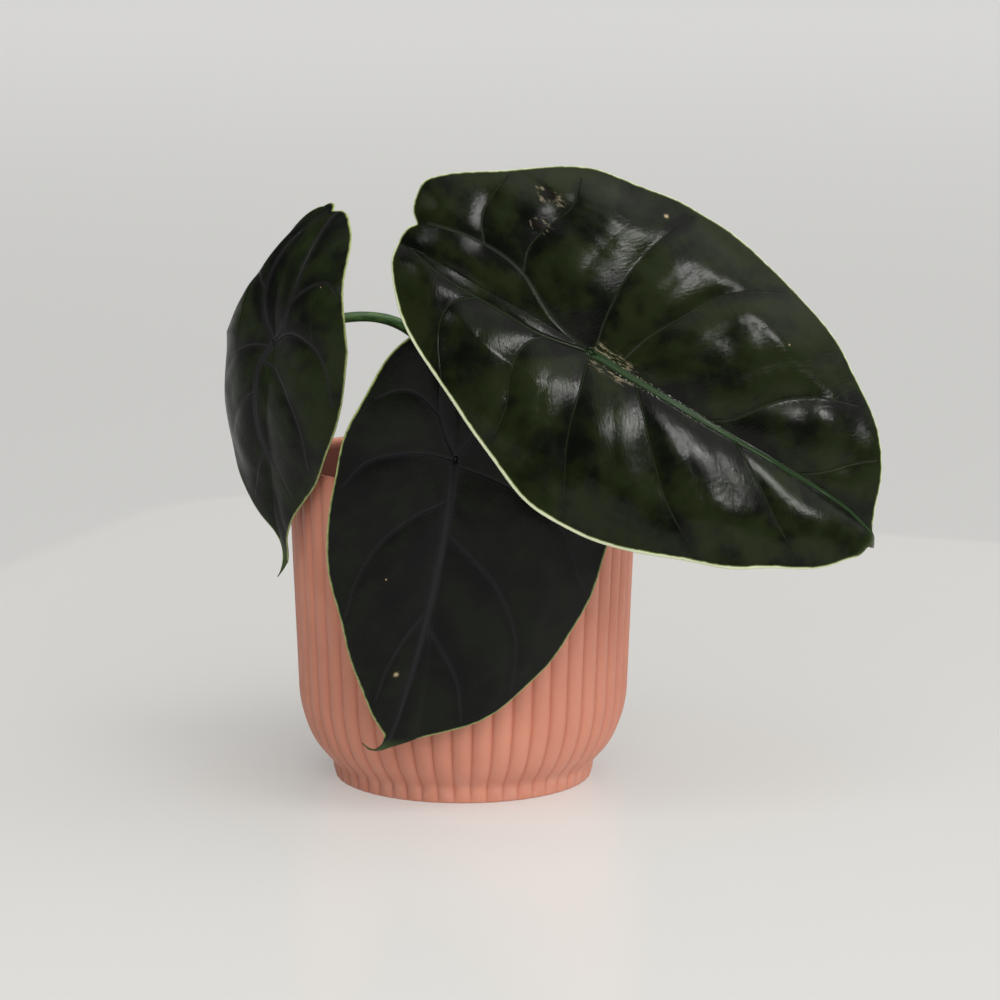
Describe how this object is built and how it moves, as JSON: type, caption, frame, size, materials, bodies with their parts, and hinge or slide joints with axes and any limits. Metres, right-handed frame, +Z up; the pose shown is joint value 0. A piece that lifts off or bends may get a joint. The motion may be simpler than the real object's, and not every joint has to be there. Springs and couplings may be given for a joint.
{
  "type": "potted live plant",
  "caption": "Broad-leaved potted plant: leathery shield leaves on arching stalks rise from a crown in potting mix, in a grow pot inside a ribbed cover pot.",
  "frame": {"origin": "middle of the cover pot's flat underside", "axes": "+Z up along the pot's axis; -Y towards the side the two front leaves hang over; +X to the right when looking along +Y"},
  "size_m": [0.2522, 0.1876, 0.253],
  "materials": {
    "salmon_plastic": "matte",
    "black_plastic": "matte",
    "potting_mix": "rough loose bark and coir",
    "crown_tissue": "dry scarred",
    "leaf": "glossy to satin, quilted",
    "stalk": "satin"
  },
  "bodies": {
    "root": {"cover_pot": "salmon_plastic", "grow_pot": "black_plastic", "potting_mix": "potting_mix", "crown": "crown_tissue", "petiole_large": "stalk", "petiole_front": "stalk", "petiole_left": "stalk", "leaf_blade_large": "leaf", "leaf_blade_front": "leaf", "leaf_blade_left": "leaf"}
  },
  "joints": []
}
